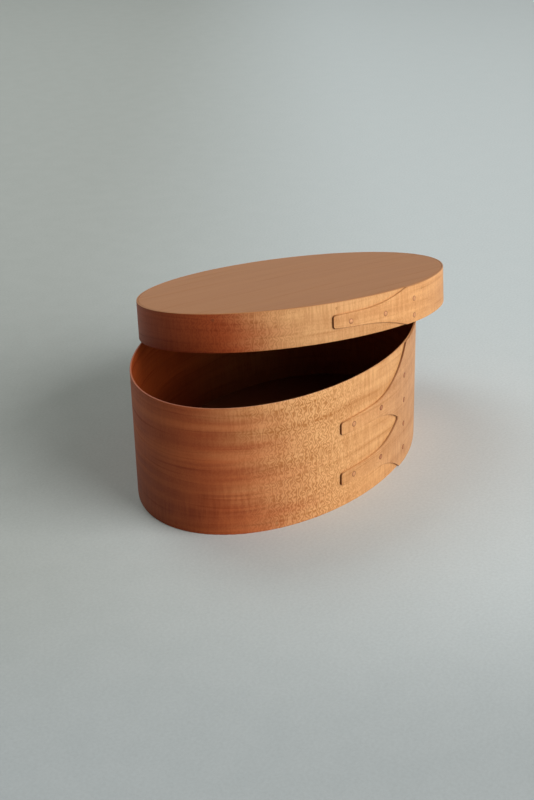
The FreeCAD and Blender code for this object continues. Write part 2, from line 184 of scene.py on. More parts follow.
class OvalBoxFinish(bpy.types.PropertyGroup):
    """Colours of the wood and the copper."""

    band_pale: colour("Sapwood, pale", "Pale golden wood of the bands", (0.76, 0.40, 0.165))
    band_deep: colour("Sapwood, deep", "Deeper lines in the golden wood", (0.44, 0.165, 0.042))
    # Partly the wood's own red and partly painted shade: these deepen and redden the band's shaded stretch
    heart_and_shade_pale: colour("Heartwood, pale", "Pale wood of the body's red stretch", (0.50, 0.115, 0.031))
    heart_and_shade_deep: colour("Heartwood, deep", "Deeper lines in that stretch", (0.30, 0.050, 0.012))
    lid_heart_and_shade_pale: colour("Lid heartwood, pale", "Pale wood of the lid's red stretch", (0.44, 0.086, 0.022))
    lid_heart_and_shade_deep: colour("Lid heartwood, deep", "Deeper lines in that stretch", (0.26, 0.038, 0.009))
    board_pale: colour("Lid board, pale", "Pale wood of the lid's board", (0.52, 0.220, 0.079))
    board_deep: colour("Lid board, deep", "Deep streaks of the lid's board", (0.455, 0.177, 0.059))
    # Painted shade: the bottom board is coloured far darker than the lid's board, for the shade inside the
    # box
    shaded_bottom_pale: colour("Bottom board, pale", "Pale wood of the bottom board", (0.17, 0.052, 0.018))
    shaded_bottom_deep: colour("Bottom board, deep", "Deep streaks of the bottom board", (0.13, 0.036, 0.012))
    # Painted highlight: the pale line along the body's rim
    rim_highlight: colour("Worn edge", "Wood rubbed pale on the body's rim", (0.86, 0.56, 0.40))
    # Also the colour of the painted shade rings round the tacks
    cut_edge_and_ring_shade: colour("Cut edge", "Stained end grain of the fingers' cut edges", (0.10, 0.020, 0.004))
    # Painted shade: both tints darken the inner face, the low one more, so it is darker towards the bottom
    inner_shade_high: colour("Inside, high", "What tints the inner face near the rim", (0.80, 0.66, 0.50))
    inner_shade_low: colour("Inside, low", "What tints the inner face near the bottom", (0.36, 0.24, 0.18))
    peg: colour("Peg", "End grain of the pegs", (0.62, 0.29, 0.105))
    copper: colour("Copper", "Bright copper of the tack heads", (0.62, 0.290, 0.13))
    tarnish: colour("Tarnish", "Tarnish round and on the tack heads", (0.25, 0.070, 0.028))


class OvalBoxStage(bpy.types.PropertyGroup):
    """Floor and light."""

    # Painted light and shade: the floor is greyer in front of the box and paler to its right
    shaded_floor_front: colour("Floor, front", "Colour of the floor in front of the box", (0.535, 0.578, 0.590))
    floor_left: colour("Floor, left", "Colour of the floor left of the box", (0.535, 0.562, 0.540))
    lit_floor_right: colour("Floor, right", "Colour of the floor right of the box", (0.740, 0.795, 0.810))
    key_watts: watts("Key lamp", "Power of the main lamp", 104.0)
    fill_watts: watts("Fill lamp", "Power of the lamp behind", 12.0)
    world_strength: FloatProperty(name="Room light", description="Light from above", default=0.20, min=0)


class OvalBoxSettings(bpy.types.PropertyGroup):
    """All the settings of the oval box."""

    sizes: PointerProperty(name="Sizes", description="Sizes of the box", type=OvalBoxSizes)
    finish: PointerProperty(name="Finish", description="Colours of the pieces", type=OvalBoxFinish)
    stage: PointerProperty(name="Stage", description="Floor and light", type=OvalBoxStage)


# ---------------------------------------------------------------- shapes

class Oval:
    """An ellipse in plan, walked from the middle of its front towards +X."""

    def __init__(self, half_length, half_width, centre_y=0.0):
        self.half_length = half_length
        self.half_width = half_width
        self.centre_y = centre_y
        self.turns = np.linspace(0, 2 * math.pi, OVAL_STEPS + 1)
        steps = np.hypot(
            np.diff(half_length * np.cos(self.turns)),
            np.diff(half_width * np.sin(self.turns)),
        )
        self.walked = np.concatenate(([0.0], np.cumsum(steps)))
        self.around = self.walked[-1]

    def place(self, along, out, height):
        """Points at `along`, `out` and `height`: the ellipse point plus `out` times its
        unit normal (cos t / a, sin t / b)."""
        along, out, height = np.broadcast_arrays(along, out, height)
        turn = np.interp((0.75 * self.around + along) % self.around, self.walked, self.turns)
        normal = np.stack([np.cos(turn) / self.half_length, np.sin(turn) / self.half_width], -1)
        normal /= np.linalg.norm(normal, axis=-1, keepdims=True)
        x = self.half_length * np.cos(turn) + out * normal[..., 0]
        y = self.centre_y + self.half_width * np.sin(turn) + out * normal[..., 1]
        return np.stack([x, y, height], -1)

    def facing_out(self, along, out, height):
        """The point, and a matrix whose columns point sideways, up and out of the wall."""
        point = self.place(along, out, height)
        outward = self.place(along, out + MM, height) - point
        outward /= np.linalg.norm(outward)
        up = np.array([0.0, 0.0, 1.0])
        return point, np.stack([np.cross(up, outward), up, outward], 1)


class Band:
    """A strip that starts at its feathered end inside the seam, runs left round the oval
    and comes back over its own start as the outer layer, which ends in the fingers."""

    def __init__(self, oval, thickness, height, seam, reach, axes, tip_width, taper, straight, flare):
        self.oval = oval
        self.thickness = thickness
        self.height = height
        self.seam = seam
        self.tip = seam - reach
        self.axes = sorted(axes)
        self.tip_width = tip_width
        self.taper = math.radians(taper)
        self.straight = straight
        self.flare = flare

    def rise(self, along):
        """How far the outer layer stands off the oval: a smooth step over the feather."""
        climb = FEATHER_LENGTH + LAP_RUN_OUT
        share = np.clip((self.seam + climb - along) / climb, 0, 1)
        return (self.thickness + LAP_GAP) * share * share * (3 - 2 * share)

    def faces(self, walked):
        """Distances from the oval to the strip's inner and outer face."""
        inner = self.rise(walked + self.oval.around)
        return inner, inner + self.rise(walked) - LAP_GAP

    def outline(self, inset):
        """Half a finger's outline moved in by `inset`: its tip, its half widths at the tip
        and where the flare starts, the flare's centre and radius, and the corner's radius
        and the half width where it starts."""
        slope = math.tan(self.taper)
        half_tip = self.tip_width / 2 - inset / math.cos(self.taper) + inset * slope
        tip = self.tip + inset
        straight = self.straight - inset
        radius = self.flare + inset
        flare_half = half_tip + straight * slope
        centre = (
            tip + straight - radius * math.sin(self.taper),
            flare_half + radius * math.cos(self.taper),
        )
        corner = max(FINGER_CORNER - inset, 0.1 * MM)
        corner_half = half_tip + corner * slope - corner / math.cos(self.taper)
        return tip, half_tip, flare_half, centre, radius, corner, corner_half

    def finger_end(self, height, inset):
        """Where the outer layer ends at each height, with h the distance from the
        nearest finger's axis: the tip; then c - sqrt(c^2 - h^2) round the corner; then
        h / tan(taper) up the straight edge; then the flare's circle."""
        tip, half_tip, flare_half, centre, radius, corner, corner_half = self.outline(inset)
        off_axis = np.min([np.abs(height - axis) for axis in self.axes], axis=0)
        in_corner = np.clip(off_axis - corner_half, 0, corner)
        round_corner = tip + corner - np.sqrt(corner ** 2 - in_corner ** 2)
        up_taper = tip + (off_axis - half_tip) / math.tan(self.taper)
        below_centre = np.clip(centre[1] - off_axis, 0, radius)
        up_flare = centre[0] + np.sqrt(radius ** 2 - below_centre ** 2)
        corner_top = corner_half + corner * math.cos(self.taper)
        return np.select(
            [off_axis <= corner_half, off_axis <= corner_top, off_axis <= flare_half],
            [np.full_like(off_axis, tip), round_corner, up_taper],
            up_flare,
        )

    def end_grain(self, height):
        """How far the cut edge crosses the fibres: 1 / sqrt(1 + slope^2), which is 1
        where the edge stands upright and near 0 where it runs along the strip."""
        step = 0.05 * MM
        run = self.finger_end(height + step, 0.0) - self.finger_end(height - step, 0.0)
        return 1 / np.hypot(1, run / (2 * step))

    def rows(self):
        """Heights that follow the bends of the fingers' outline, on both of its edges."""
        heights = [np.linspace(RIM_ARRIS, self.height - RIM_ARRIS, 9)]
        for inset in (0.0, self.head_inset()):
            _, half_tip, flare_half, centre, radius, corner, corner_half = self.outline(inset)
            farthest = max(self.height, radius)
            turned = math.acos(max((centre[1] - farthest) / radius, 0.0))
            off_axis = np.concatenate([
                np.linspace(0, corner_half, 3),
                corner_half + corner * np.sin(np.linspace(0.3, math.pi / 2 - self.taper, 4)),
                np.linspace(half_tip, flare_half, 7)[1:],
                centre[1] - radius * np.cos(np.linspace(self.taper, turned, 22)[1:]),
            ])
            for axis in self.axes:
                heights += [axis - off_axis, axis + off_axis]
        heights = np.unique(np.round(np.concatenate(heights), 6))
        inside = (heights > 1.2 * RIM_ARRIS) & (heights < self.height - 1.2 * RIM_ARRIS)
        heights = heights[inside]
        apart = np.concatenate(([True], np.diff(heights) > 0.015 * MM))
        return np.concatenate(([RIM_ARRIS], heights[apart], [self.height - RIM_ARRIS]))

    def head_inset(self):
        """How far the bevel sets the outer face's edge back."""
        return (self.thickness + LAP_GAP / 2) * math.tan(FINGER_BEVEL)


def mesh_object(name, shape):
    """A mesh object from a shape: its points, its arrays of faces with three or four
    corners, and its attributes. Faces are turned outwards where the volume they enclose is
    negative."""
    points, faces, attributes = shape
    volume = 0.0
    for group in faces:
        for second in range(1, group.shape[1] - 1):
            a, b, c = points[group[:, 0]], points[group[:, second]], points[group[:, second + 1]]
            volume += np.einsum("ij,ij->", a, np.cross(b, c))
    if volume < 0:
        faces = [group[:, ::-1] for group in faces]
    counts = np.concatenate([np.full(len(group), group.shape[1]) for group in faces])
    corners = np.concatenate([group.ravel() for group in faces])
    mesh = bpy.data.meshes.new(name)
    mesh.vertices.add(len(points))
    mesh.vertices.foreach_set("co", points.astype(np.float32).ravel())
    mesh.loops.add(len(corners))
    mesh.loops.foreach_set("vertex_index", corners.astype(np.int32))
    mesh.polygons.add(len(counts))
    starts = np.concatenate(([0], np.cumsum(counts)[:-1]))
    mesh.polygons.foreach_set("loop_start", starts.astype(np.int32))
    mesh.update(calc_edges=True)
    for key, values in attributes.items():
        kind, field = ("FLOAT_VECTOR", "vector") if values.ndim == 2 else ("FLOAT", "value")
        mesh.attributes.new(key, kind, "POINT").data.foreach_set(field, values.astype(np.float32).ravel())
    mesh.validate()
    mesh.polygons.foreach_set("use_smooth", np.ones(len(mesh.polygons), bool))
    mesh.set_sharp_from_angle(angle=SHARP_ANGLE)
    piece = bpy.data.objects.new(name, mesh)
    bpy.context.scene.collection.objects.link(piece)
    return piece


def grid_faces(index, close_rows=False):
    """Quads between neighbouring rows and columns of an array of point numbers."""
    if close_rows:
        index = np.concatenate([index, index[:, :1]], axis=1)
    quads = np.stack([index[:-1, :-1], index[:-1, 1:], index[1:, 1:], index[1:, :-1]], -1)
    return quads.reshape(-1, 4)


def fan(pole, ring):
    """Triangles from one point to each pair of neighbours in a row of points."""
    return np.stack([np.full(len(ring) - 1, pole), ring[:-1], ring[1:]], -1)


def closed_faces(rows, columns):
    """Faces of a stack of rings that is closed to a middle point at each end. The two
    middle points come after the rings' own points."""
    index = np.arange(rows * columns).reshape(rows, columns)
    return [
        grid_faces(index, close_rows=True),
        fan(rows * columns, np.append(index[0], index[0, 0]))[:, ::-1],
        fan(rows * columns + 1, np.append(index[-1], index[-1, 0])),
    ]


def joined(parts):
    """Points, faces and attributes of several shapes as one."""
    points, faces, attributes, first = [], {3: [], 4: []}, {}, 0
    for part_points, part_faces, part_attributes in parts:
        points.append(part_points)
        for group in part_faces:
            faces[group.shape[1]].append(group + first)
        for key, values in part_attributes.items():
            attributes.setdefault(key, []).append(values)
        first += len(part_points)
    groups = [np.concatenate(group) for group in faces.values() if group]
    return np.concatenate(points), groups, {k: np.concatenate(v) for k, v in attributes.items()}


def softened_edge(band, heights, last_column):
    """Two more columns of points after the outer face's last one, which round the fingers'
    cut edge off to its bevel."""
    columns = []
    for share_of_arris, drop in ((0.3, 0.3), (0.0, 1.0)):
        depth = FINGER_ARRIS * drop
        inset = band.head_inset() - depth * math.tan(FINGER_BEVEL) + FINGER_ARRIS * share_of_arris
        column = last_column.copy()
        column[:, 0] = band.finger_end(heights, inset) - band.oval.around
        column[:, 1] -= depth
        columns.append(column[1:-1])
    return np.concatenate(columns)


def end_faces(outer, inner, first_new):
    """Faces that close the strip at its feathered end and at its cut one, from the point
    numbers of its outer and inner side. The softened edge's two columns are numbered from
    `first_new` on."""
    first = np.stack([outer[0], inner[0]])
    softened = np.arange(first_new, first_new + 2 * (outer.shape[1] - 2)).reshape(2, -1)
    last = np.concatenate([outer[-1:, 1:-1], softened, inner[-1:, 1:-1]])
    return [
        grid_faces(first[:, 1:-1]),
        np.array([[first[0, 0], first[0, 1], first[1, 1]]]),
        np.array([[first[0, -1], first[1, -2], first[0, -2]]]),
        grid_faces(last[::-1]),
        fan(outer[-1, 0], last[:, 0]),
        fan(outer[-1, -1], last[::-1, -1]),
    ]


def band_shape(band):
    """The whole strip as one closed surface.

    A section of the strip is a ring of points: its outer side runs from the middle of
    the lower edge over a rounded arris, up the outer face and over the upper arris to the
    middle of the upper edge, and its inner side comes back the same way. The ring is
    carried along the strip. Past a join, each height has its own stretch of columns,
    which ends where the fingers' outline crosses that height, and the bevelled, softened
    cut edge closes the strip from the outer face to the inner one."""
    rows = band.rows()
    bend = np.linspace(0, math.pi / 2, 4)[:-1]
    low_in = np.concatenate(([np.nan], 1 - np.sin(bend)))
    low_up = np.concatenate(([0.0], 1 - np.cos(bend)))
    set_in = np.concatenate([low_in, np.zeros(len(rows)), low_in[::-1]])
    top = band.height

    def side(walked, outer_side):
        """Points (along, out, height) of one side of the ring at each place walked."""
        inner, outer = band.faces(walked)
        middle = (inner + outer) / 2
        arris = np.minimum(RIM_ARRIS, 0.45 * (outer - inner))
        count = len(low_up)
        height = np.empty_like(walked)
        height[:, :count] = arris[:, :count] * low_up
        height[:, count:-count] = rows
        height[:, -count:] = top - arris[:, -count:] * low_up[::-1]
        face = outer if outer_side else inner
        inward = -1 if outer_side else 1
        out = np.where(np.isnan(set_in), middle, face + inward * arris * np.nan_to_num(set_in))
        return np.stack([walked, out, height], -1)

    ring = len(set_in)
    around = band.oval.around
    flat_heights = np.concatenate([RIM_ARRIS * low_up, rows, top - RIM_ARRIS * low_up[::-1]])
    head = band.head_inset()
    outer_end = band.finger_end(flat_heights, head + FINGER_ARRIS)
    outer_near = band.finger_end(flat_heights, head + FINGER_ARRIS + ARRIS_BAND)
    inner_end = band.finger_end(flat_heights, 0.0)
    poles = [0, ring - 1]
    inner_end[poles] = outer_end[poles]
    join = outer_near.max() + 3 * MM

    start = band.seam + FEATHER_LENGTH
    main = np.linspace(start, join - around, math.ceil((start - join + around) / STATION))
    main = np.repeat(main[:, None], ring, axis=1)
    share = np.linspace(0, 1, JOIN_COLUMNS)[1:, None]
    inner_near = np.where(outer_near > inner_end, outer_near, inner_end + ARRIS_BAND)
    inner_near[poles] = outer_near[poles]

    def columns(near, end):
        """Where along the strip each column lies, up to each height's own end."""
        return np.concatenate([main, join + (near - join) * share - around, end[None] - around])

    outer_side = side(columns(outer_near, outer_end), True)
    inner_side = side(columns(inner_near, inner_end), False)
    strip = np.concatenate([outer_side, inner_side[:, -2:0:-1]], axis=1)
    stations, loop = strip.shape[:2]
    index = np.arange(stations * loop).reshape(stations, loop)
    inner_index = np.concatenate([index[:, :1], index[:, :ring - 1:-1], index[:, ring - 1:ring]], axis=1)
    ends = end_faces(index[:, :ring], inner_index, stations * loop)
    faces = [grid_faces(index, close_rows=True), *ends]

    crossing = band.end_grain(flat_heights)
    cut = np.zeros((stations, loop))
    cut[-1] = np.concatenate([crossing, crossing[-2:0:-1]])
    cut = np.concatenate([cut.ravel(), np.tile(crossing[1:-1], 2)])
    local = np.concatenate([strip.reshape(-1, 3), softened_edge(band, flat_heights, outer_side[-1])])
    points = band.oval.place(local[:, 0], local[:, 1], local[:, 2])
    return points, faces, {"wood": local[:, [0, 2, 1]], "cut": cut}


def board_shape(oval, thickness, base):
    """A closed oval board: rings (a cos t, b sin t), each scaled by its share, from the
    middle of its top over a rounded edge to the middle of its underside."""
    turn = np.linspace(0, 2 * math.pi, BOARD_COLUMNS, endpoint=False)
    bend = np.linspace(0, math.pi / 2, 4)
    down = BOARD_ARRIS * (1 - np.cos(bend))
    back = BOARD_ARRIS * (1 - np.sin(bend))
    flat = np.linspace(0.08, 0.99, 8) ** 0.7
    arris = np.full_like(flat, BOARD_ARRIS)
    share = np.concatenate([flat, np.ones(2 * len(bend)), flat[::-1]])[:, None]
    inward = np.concatenate([arris, back, down, arris])[:, None]
    drop = np.concatenate([0 * flat, down, thickness - back, np.full_like(flat, thickness)])
    x = (oval.half_length - BOARD_FIT - inward) * share * np.cos(turn)
    y = (oval.half_width - BOARD_FIT - inward) * share * np.sin(turn)
    z = np.repeat((base + thickness - drop)[:, None], BOARD_COLUMNS, axis=1)
    rings = np.stack([x, y + oval.centre_y, z], -1).reshape(-1, 3)
    middles = np.array([[0, oval.centre_y, base + thickness], [0, oval.centre_y, base]])
    points = np.concatenate([rings, middles])
    return points, closed_faces(len(drop), BOARD_COLUMNS), {"wood": points, "cut": np.zeros(len(points))}


def level_ring(turn, half, depth):
    """A ring of points, half width * (cos t, sin t), at a depth below the wall's face."""
    return np.stack([half * np.cos(turn), half * np.sin(turn), np.full_like(turn, -depth)], -1)


def tube_shape(sections, point, axes):
    """A closed shape whose sections are rings of points (x, y) at depths z, placed with
    its own axes at a point. Its two ends are closed to their middles."""
    rings = np.array(sections)
    ends = np.array([rings[0].mean(axis=0), rings[-1].mean(axis=0)])
    local = np.concatenate([rings.reshape(-1, 3), ends])
    return local @ axes.T + point, closed_faces(*rings.shape[:2]), {"local": local}


def tack_shape(oval, along, wall, height, seed):
    """One tack. Its head is a dome, z = crown * (1 - r^2.6), with a slightly uneven
    outline and shallow hammer flats, and its square shank tapers to a bent point."""
    random = np.random.default_rng(seed)
    turn = np.linspace(0, 2 * math.pi, TACK_COLUMNS, endpoint=False)
    wobble = 1 + 0.02 * np.sin(2 * turn + random.uniform(0, 6))
    wobble += 0.015 * np.sin(3 * turn + random.uniform(0, 6))
    tilt = random.uniform(-0.05, 0.05, 2) * MM
    sections = []
    for reach in (0.12, 0.35, 0.58, 0.76, 0.89, 0.97, 1.0):
        x = TACK_HEAD / 2 * reach * wobble * np.cos(turn)
        y = TACK_HEAD / 2 * reach * wobble * np.sin(turn)
        hammered = HAMMER_DEPTH * np.sin(x / MM * 2.6 + seed) * np.sin(y / MM * 2.2 + 2 * seed)
        lean = (tilt[0] * x + tilt[1] * y) / TACK_HEAD
        z = TACK_PROUD * (1 - reach ** 2.6) + hammered * (1 - reach ** 4) + lean
        sections.append(np.stack([x, y, z], -1))
    for half, depth in (
        (TACK_HEAD / 2, TACK_SUNK - 0.02 * MM),
        (TACK_SHANK / 2, TACK_SUNK - 0.01 * MM),
        (TACK_TIP / 2, wall - 0.02 * MM),
    ):
        sections.append(level_ring(turn, half, depth))
    point, axes = oval.facing_out(along, wall, height)
    head = tube_shape(sections, point, axes)

    across = TACK_TIP / 2
    square = np.array([[-across, 0], [across, 0], [across, 1], [-across, 1]])
    clinch = []
    for down, thick in ((-0.15, 1.0), (0.35, 0.72), (0.7, 0.4), (0.98, 0.08)):
        x = square[:, 0] * (1 - 0.35 * max(down, 0))
        z = -wall - 0.02 * MM + square[:, 1] * thick * TACK_CLINCH_THICKNESS
        clinch.append(np.stack([x, np.full(4, -down * TACK_CLINCH), z], -1))
    return [head, tube_shape(clinch, point, axes)]


def peg_shape(oval, along, wall, height, seed):
    """One whittled peg. Its section has eight flats: the half width of a flat's middle
    divided by the cosine of the angle from there. It tapers into the board, and its
    softened end stands a hair proud of the band."""
    random = np.random.default_rng(seed)
    turn = np.linspace(0, 2 * math.pi, PEG_COLUMNS, endpoint=False) + random.uniform(0, 1)
    flats = 1 / np.cos((turn % (math.pi / 4)) - math.pi / 8)
    sections = []
    for share, depth in (
        (0.55, -PEG_PROUD),
        (0.9, -0.75 * PEG_PROUD),
        (1.0, 0.01 * MM),
        (0.98, 0.5 * MM),
        (0.7, wall + PEG_DEPTH_IN_BOARD),
    ):
        half = PEG_WIDTH / 2 * share * flats * math.cos(math.pi / 8)
        sections.append(level_ring(turn, half, depth))
    point, axes = oval.facing_out(along, wall, height)
    return tube_shape(sections, point, axes)


# ---------------------------------------------------------------- the box's own places

class Box:
    """The box's bands, ovals and the lid's resting place, from the settings."""

    def __init__(self, sizes):
        self.sizes = sizes
        thickness = sizes.band_thickness
        step = thickness + LAP_GAP
        half_length = sizes.body_length / 2
        half_width = sizes.body_width / 2
        self.body_oval = Oval(half_length - thickness, half_width - thickness)
        self.lid_oval = Oval(half_length + LID_SLIP_FIT, half_width + LID_SLIP_FIT + step / 2, -step / 2)
        self.body = Band(
            self.body_oval, thickness, sizes.body_height, seam=20.6 * MM, reach=56.8 * MM,
            axes=(41.6 * MM, 15 * MM), tip_width=6.7 * MM, taper=2.2, straight=24 * MM, flare=44 * MM,
        )
        self.lid = Band(
            self.lid_oval, thickness, sizes.lid_height, seam=22.8 * MM, reach=56.1 * MM,
            axes=(sizes.lid_height / 2,), tip_width=6.8 * MM, taper=1.2, straight=16 * MM, flare=110 * MM,
        )
        self.lid_rest = self.rest_of_lid()

    def rest_of_lid(self):
        """Turn and place of the lid. Its lower edge crosses the body's rim at two places
        on a line across the body, and it tips about that line until its board meets the
        far rim."""
        half_length = self.sizes.body_length / 2
        half_width = self.sizes.body_width / 2
        lean, lid_line, offset = REST_LINE, REST_LINE_ON_LID, REST_LINE_OFFSET
        run, square, left, right = chord(half_length + REST_GAP, half_width + REST_GAP, lean, offset)
        middle = square * offset + run * (left + right) / 2
        lid_reach = math.hypot(
            self.lid_oval.half_length * math.sin(lid_line), self.lid_oval.half_width * math.cos(lid_line)
        )
        share = (right - left) / 2 * lid_reach / (self.lid_oval.half_length * self.lid_oval.half_width)
        lid_offset = -lid_reach * math.sqrt(1 - share ** 2)
        lid_run, lid_square, lid_left, lid_right = chord(
            self.lid_oval.half_length, self.lid_oval.half_width, lid_line, lid_offset
        )
        lid_middle = lid_square * lid_offset + lid_run * (lid_left + lid_right) / 2
        lid_middle = lid_middle + np.array([0, self.lid_oval.centre_y, 0])
        hollow = self.sizes.lid_height - self.sizes.board_thickness
        far_rim = math.hypot(half_length * math.sin(lean), half_width * math.cos(lean)) - offset
        tip = math.asin(hollow / far_rim)
        turn = np.array(Matrix.Rotation(-tip, 3, run) @ Matrix.Rotation(lean - lid_line, 3, "Z"))
        place = middle + np.array([0, 0, self.sizes.body_height + REST_GAP]) - turn @ lid_middle
        return turn, place

    def stay(self, shape):
        """A shape of the body, where it is."""
        return shape

    def lay_on(self, shape):
        """A shape of the lid, turned and moved to where the lid lies."""
        turn, place = self.lid_rest
        return shape[0] @ turn.T + place, shape[1], shape[2]

    def half(self, which):
        """The band, the function that puts a shape in its place and the name of the body,
        for the lid or for the box below it."""
        return (self.lid, self.lay_on, "lid") if which == "lid" else (self.body, self.stay, "box")


def chord(half_length, half_width, direction, offset):
    """Where a straight line at `offset` from the middle crosses an ellipse: the line's
    direction, the direction square to it, and the distances of the two crossings."""
    run = np.array([math.cos(direction), math.sin(direction), 0])
    square = np.array([-math.sin(direction), math.cos(direction), 0])
    a = (run[0] / half_length) ** 2 + (run[1] / half_width) ** 2
    b = 2 * offset * (square[0] * run[0] / half_length ** 2 + square[1] * run[1] / half_width ** 2)
    c = offset ** 2 * ((square[0] / half_length) ** 2 + (square[1] / half_width) ** 2) - 1
    root = math.sqrt(b * b - 4 * a * c)
    return run, square, (-b - root) / (2 * a), (-b + root) / (2 * a)


def tack_places(box):
    """The (along, height) places of each node's tacks, by node name."""
    body, lid = box.body, box.lid
    lower, upper = body.axes
    return {
        "upper_finger_tacks": [(body.tip + gap, upper) for gap in FINGER_TACKS],
        "lower_finger_tacks": [(body.tip + gap, lower) for gap in FINGER_TACKS],
        "body_seam_tacks": [(body.seam, height) for height in SEAM_TACKS],
        "lid_finger_tacks": [(lid.tip + gap, LID_FINGER_TACK_HEIGHT) for gap in LID_FINGER_TACKS],
        "lid_seam_tacks": [(lid.seam, height) for height in LID_SEAM_TACKS],
    }


# ---------------------------------------------------------------- finishes

def wire(tree, source, target):
    """Join an output to an input, or set the input to a constant."""
    if isinstance(source, bpy.types.NodeSocket):
        tree.links.new(source, target)
    else:
        target.default_value = source


def node(tree, kind, inputs=None, **settings):
    """A new shader node with its settings. `inputs` are its sockets by name or number."""
    made = tree.nodes.new(kind)
    for key, value in settings.items():
        setattr(made, key, value)
    for key, source in (inputs or {}).items():
        wire(tree, source, made.inputs[key])
    return made


def maths(tree, operation, first, second=0.0, third=0.0, clamp=False):
    """The output of a Math node."""
    inputs = {0: first, 1: second, 2: third}
    return node(tree, "ShaderNodeMath", inputs, operation=operation, use_clamp=clamp).outputs[0]


def times(tree, first, second):
    """The product of two values."""
    return maths(tree, "MULTIPLY", first, second)


def summed(tree, start, *terms, clamp=False):
    """A start value plus each term's value times its share. `clamp` holds the sum between
    0 and 1."""
    for number, (value, share) in enumerate(terms, 1):
        start = maths(tree, "MULTIPLY_ADD", value, share, start, clamp and number == len(terms))
    return start


def centred(tree, value):
    """A value between 0 and 1, moved to lie between -0.5 and 0.5."""
    return maths(tree, "SUBTRACT", value, 0.5)


def distance_from(tree, value, place):
    """How far a value is from a place."""
    return maths(tree, "ABSOLUTE", maths(tree, "SUBTRACT", value, place))


def parts_of(tree, vector):
    """The three parts of a vector."""
    return node(tree, "ShaderNodeSeparateXYZ", {0: vector}).outputs


def vector_maths(tree, operation, first, second, output="Vector"):
    """The output of a Vector Math node."""
    return node(tree, "ShaderNodeVectorMath", {0: first, 1: second}, operation=operation).outputs[output]


def noise(tree, vector, scales, detail=3.0, roughness=0.55):
    """A noise over a stretched vector; the scales are in cycles per metre."""
    inputs = {
        "Vector": vector_maths(tree, "MULTIPLY", vector, scales),
        "Scale": 1.0,
        "Detail": detail,
        "Roughness": roughness,
    }
    return node(tree, "ShaderNodeTexNoise", inputs).outputs["Fac"]


def maze(tree, vector, lines, cells, stirred):
    """Upright lines, so many to the metre, stirred by a noise of so many cells to the
    metre until they wind and close like a fingerprint: sin(20 x + stirred * noise), with
    x in the Wave texture's own unit, which has a line every pi / 10."""
    scale = lines * math.pi / 10
    inputs = {
        "Vector": vector_maths(tree, "MULTIPLY", vector, (scale, scale, 0)),
        "Scale": 1.0,
        "Distortion": stirred,
        "Detail": 0.0,
        "Detail Scale": cells / scale,
    }
    waves = {"wave_type": "BANDS", "bands_direction": "X", "wave_profile": "SIN"}
    return node(tree, "ShaderNodeTexWave", inputs, **waves).outputs["Fac"]


def mapped(tree, value, low, high, out_low=0.0, out_high=1.0):
    """A value moved smoothly from one range to another and held inside it."""
    inputs = {0: value, 1: low, 2: high, 3: out_low, 4: out_high}
    return node(tree, "ShaderNodeMapRange", inputs, interpolation_type="SMOOTHSTEP").outputs["Result"]


def mixed(tree, share, first, second, blend="MIX"):
    """The colour output of a Mix node, from two outputs or colours."""
    first, second = (c if isinstance(c, bpy.types.NodeSocket) else (*c, 1) for c in (first, second))
    inputs = {0: share, 6: first, 7: second}
    return node(tree, "ShaderNodeMix", inputs, data_type="RGBA", blend_type=blend).outputs[2]


def group_of(name, inputs, outputs, fill):
    """A shader node group, made once. `inputs` are the kinds of its inputs by label, and
    `outputs` the labels of the values it puts out."""
    group = bpy.data.node_groups.get(name)
    if group:
        return group
    group = bpy.data.node_groups.new(name, "ShaderNodeTree")
    for label, kind in inputs.items():
        group.interface.new_socket(label, in_out="INPUT", socket_type=f"NodeSocket{kind}")
    for label in outputs:
        group.interface.new_socket(label, in_out="OUTPUT", socket_type="NodeSocketFloat")
    start = group.nodes.new("NodeGroupInput")
    end = group.nodes.new("NodeGroupOutput")
    for label, socket in fill(group, start.outputs).items():
        wire(group, socket, end.inputs[label])
    return group


def placed(tree, group, **inputs):
    """The outputs of a group put into a material, with its inputs set."""
    return node(tree, "ShaderNodeGroup", inputs, node_tree=group).outputs


def grain_group():
    """Straight grain: broad streaks, thin darker growth lines and short pores along the
    wood, all of which wander a little."""

    def fill(tree, inputs):
        drift = centred(tree, noise(tree, inputs["Wood"], (9, 22, 0), detail=2))
        shift = node(tree, "ShaderNodeCombineXYZ", {1: times(tree, drift, GRAIN_DRIFT)}).outputs[0]
        wood = vector_maths(tree, "ADD", inputs["Wood"], shift)
        streaks = noise(tree, wood, (5, 170, 60), detail=4, roughness=0.6)
        lines = noise(tree, wood, (16, 620, 300), detail=2, roughness=0.5)
        pores = noise(tree, wood, (260, 2600, 2500), detail=1)
        return {
            "Streaks": mapped(tree, streaks, 0.30, 0.70),
            "Lines": mapped(tree, lines, 0.56, 0.72),
            "Pores": mapped(tree, pores, 0.60, 0.74),
        }

    return group_of("Straight grain", {"Wood": "Vector"}, ("Streaks", "Lines", "Pores"), fill)


def figure_group():
    """Figure across the grain: a fine rippled curl like a fingerprint, upright hairlines,
    slow patches in which either is strong or faint, and a mottle."""

    def fill(tree, inputs):
        wood = inputs["Wood"]
        hairs = noise(tree, wood, (620, 70, 0), detail=2, roughness=0.65)
        patches = noise(tree, wood, (26, 50, 0), detail=2)
        mottle = noise(tree, wood, (110, 90, 0), detail=3, roughness=0.6)
        return {
            "Ripple": maze(tree, wood, lines=530, cells=460, stirred=8),
            "Hairs": mapped(tree, hairs, 0.36, 0.64),
            "Patches": mapped(tree, patches, 0.36, 0.60),
            "Mottle": mapped(tree, mottle, 0.30, 0.70),
        }

    return group_of("Cross figure", {"Wood": "Vector"}, ("Ripple", "Hairs", "Patches", "Mottle"), fill)


